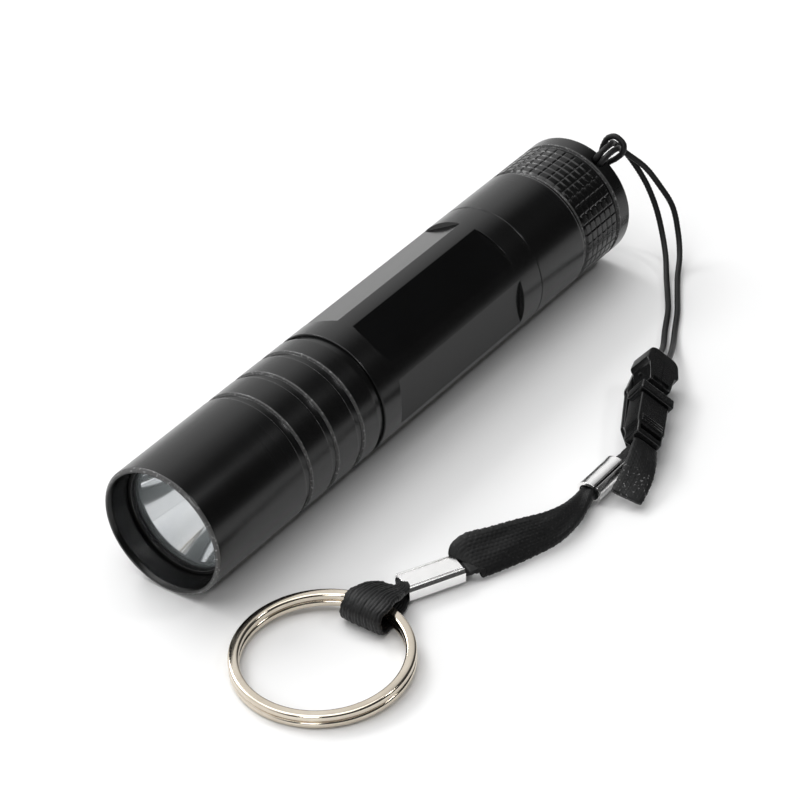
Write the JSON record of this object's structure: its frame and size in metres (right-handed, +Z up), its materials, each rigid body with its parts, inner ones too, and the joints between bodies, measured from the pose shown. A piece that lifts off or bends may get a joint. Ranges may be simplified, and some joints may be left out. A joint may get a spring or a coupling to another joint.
{
  "type": "keychain flashlight",
  "caption": "Small aluminium single-cell flashlight with a tail button and a clip-on wrist lanyard ending in a split ring.",
  "frame": {"origin": "on the resting surface under the middle of the barrel", "axes": "+X along the barrel from the bezel to the tail cap, +Y away from the side the lanyard lies on, +Z up"},
  "size_m": [0.1222, 0.0544, 0.0213],
  "materials": {
    "black_anodised": "black anodised, satin",
    "seal_rubber": "smooth rubber seal",
    "lens_glass": "clear, coated",
    "reflector_mirror": "smooth bright mirror",
    "white_plastic": "matt moulded",
    "led_phosphor": "clear dome over yellow phosphor",
    "bare_aluminium": "turned, bare",
    "pill_brass": "turned",
    "circuit_board": "solder mask",
    "spring_steel": "plated wire",
    "bare_steel": "plated",
    "cell_sleeve": "printed-free shrink sleeve",
    "black_plastic": "moulded, low sheen",
    "boot_rubber": "matt silicone",
    "black_cord": "braided nylon",
    "black_webbing": "woven nylon strap",
    "crimp_metal": "bright plated, lightly scratched",
    "nickel": "polished nickel plate"
  },
  "bodies": {
    "tail": {"tail_cap": "black_anodised", "switch_ring": "bare_aluminium", "tail_spring": "spring_steel", "switch_board": "circuit_board", "switch_housing": "black_plastic", "boot_washer": "bare_steel", "boot_flange": "boot_rubber", "lanyard_cord": "black_cord", "clip_male": "black_plastic"},
    "tail_button": {"boot_dome": "boot_rubber", "switch_plunger": "white_plastic"},
    "cell": {"cell_can": "bare_steel", "cell_wrapper": "cell_sleeve", "cell_button": "bare_steel"},
    "light": {"head_shell": "black_anodised", "lens_retainer": "black_anodised", "lens_seal": "seal_rubber", "lens": "lens_glass", "reflector": "reflector_mirror", "emitter_spacer": "white_plastic", "led_emitter": "led_phosphor", "star_board": "bare_aluminium", "pill": "pill_brass", "driver_board": "circuit_board", "driver_spring": "spring_steel", "head_oring": "seal_rubber", "barrel": "black_anodised", "tail_oring": "seal_rubber"},
    "strap": {"clip_female": "black_plastic", "webbing_end": "black_webbing", "crimp_upper": "crimp_metal", "webbing_mid": "black_webbing", "crimp_lower": "crimp_metal", "webbing_loop": "black_webbing"},
    "key_ring": {"split_ring": "nickel"}
  },
  "joints": [
    {"name": "button_press", "type": "slide", "parent": "tail", "child": "tail_button", "axis": [-1, 0, 0], "range_m": [0, 0.0015], "stiffness_N_per_m": 1500, "springref_m": -0.001},
    {"name": "unscrew_travel", "type": "slide", "parent": "tail", "child": "cell", "axis": [-1, 0, 0], "range_m": [0, 0.005]},
    {"name": "unscrew_turn", "type": "hinge", "parent": "cell", "child": "light", "pos_m": [0, 0, 0.01], "axis": [-1, 0, 0], "range_deg": [0, 1800]},
    {"name": "clip_release", "type": "slide", "parent": "tail", "child": "strap", "axis": [-0.891, -0.454, 0], "range_m": [0, 0.008]},
    {"name": "ring_turn", "type": "hinge", "parent": "strap", "child": "key_ring", "pos_m": [-0.051, -0.0272, 0.00161], "axis": [-0.0417, 0, 0.9991], "continuous": true}
  ],
  "couplings": [
    {"joint": "unscrew_turn", "follows": "unscrew_travel", "rad_per_m": 6283}
  ]
}
